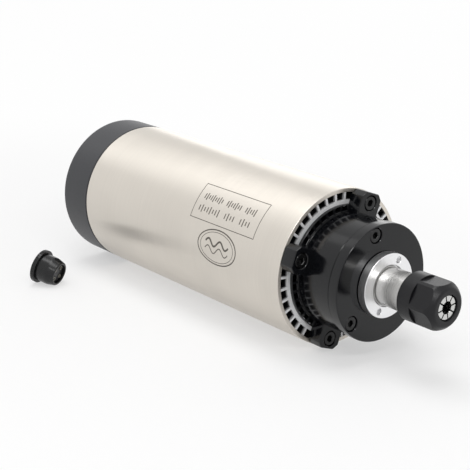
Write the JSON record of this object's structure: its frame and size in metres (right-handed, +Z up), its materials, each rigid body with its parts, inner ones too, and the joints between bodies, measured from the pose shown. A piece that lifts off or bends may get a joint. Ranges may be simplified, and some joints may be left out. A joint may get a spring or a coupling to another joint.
{
  "type": "motor spindle",
  "caption": "Air-cooled router motor spindle with a steel sleeve, black front bell with screw lugs, collet chuck and a loose power plug.",
  "frame": {"origin": "on the spindle axis at the front end of the steel sleeve", "axes": "+X along the spindle axis towards the tool, +Z up; it lies on its sleeve with the loose plug beside it"},
  "size_m": [0.271, 0.1196, 0.08],
  "materials": {
    "brushed_stainless": "brushed round the sleeve",
    "extruded_aluminium": "extruded and faced",
    "black_cast_aluminium": "black anodised satin",
    "cap_grey": "moulded slate grey",
    "lamination_steel": "varnished laminations",
    "copper": "varnished copper wire",
    "rotor_aluminium": "die cast",
    "turned_aluminium": "turned bright",
    "black_screw": "black oxide",
    "bearing_steel": "ground and lapped",
    "brass_cage": "pressed",
    "ground_steel": "ground",
    "blackened_steel": "black oxide satin",
    "collet_steel": "ground spring steel",
    "fan_plastic": "moulded",
    "gasket_rubber": "matt",
    "spring_steel": "tempered",
    "plug_plastic": "moulded black",
    "insert_plastic": "moulded black",
    "contact_metal": "plated"
  },
  "bodies": {
    "housing": {"outer_sleeve": "brushed_stainless", "stator_housing": "extruded_aluminium", "stator_core": "lamination_steel", "stator_windings": "copper", "front_bell": "black_cast_aluminium", "front_bell_screws": "black_screw", "front_flange": "black_cast_aluminium", "flange_screws": "black_screw", "front_bearing_outer_races": "bearing_steel", "rear_bearing_outer_race": "bearing_steel", "rear_bracket": "extruded_aluminium", "preload_washer": "spring_steel", "rear_cap": "cap_grey", "cap_gasket": "gasket_rubber", "rear_cap_screws": "black_screw", "inlet_shell": "contact_metal", "inlet_nut": "contact_metal", "inlet_insert": "insert_plastic", "inlet_pins": "contact_metal", "plug_body": "plug_plastic", "plug_ring": "plug_plastic", "plug_insert": "insert_plastic", "plug_contacts": "contact_metal"},
    "rotor": {"shaft": "ground_steel", "dust_ring": "turned_aluminium", "rotor_core": "lamination_steel", "rotor_cage": "rotor_aluminium", "front_bearing_inner_races": "bearing_steel", "rear_bearing_inner_race": "bearing_steel", "cooling_fan": "fan_plastic", "fan_clip": "spring_steel"},
    "front_ball_sets": {"front_bearing_balls": "bearing_steel", "front_bearing_cages": "brass_cage"},
    "rear_ball_set": {"rear_bearing_balls": "bearing_steel", "rear_bearing_cage": "brass_cage"},
    "collet": {"collet": "collet_steel"},
    "nut": {"collet_nut": "blackened_steel"}
  },
  "joints": [
    {"name": "shaft_spin", "type": "hinge", "parent": "housing", "child": "rotor", "pos_m": [0, 0, 0], "axis": [1, 0, 0], "continuous": true},
    {"name": "front_balls_orbit", "type": "hinge", "parent": "housing", "child": "front_ball_sets", "pos_m": [0, 0, 0], "axis": [1, 0, 0], "continuous": true},
    {"name": "rear_balls_orbit", "type": "hinge", "parent": "housing", "child": "rear_ball_set", "pos_m": [0, 0, 0], "axis": [1, 0, 0], "continuous": true},
    {"name": "collet_travel", "type": "slide", "parent": "rotor", "child": "collet", "axis": [1, 0, 0], "range_m": [0, 0.008]},
    {"name": "nut_turn", "type": "hinge", "parent": "collet", "child": "nut", "pos_m": [0.06, 0, 0], "axis": [1, 0, 0], "range_deg": [0, 2881]}
  ],
  "couplings": [
    {"joint": "front_balls_orbit", "follows": "shaft_spin", "ratio": 0.4011},
    {"joint": "rear_balls_orbit", "follows": "shaft_spin", "ratio": 0.3987},
    {"joint": "nut_turn", "follows": "collet_travel", "rad_per_m": 6283.2}
  ]
}
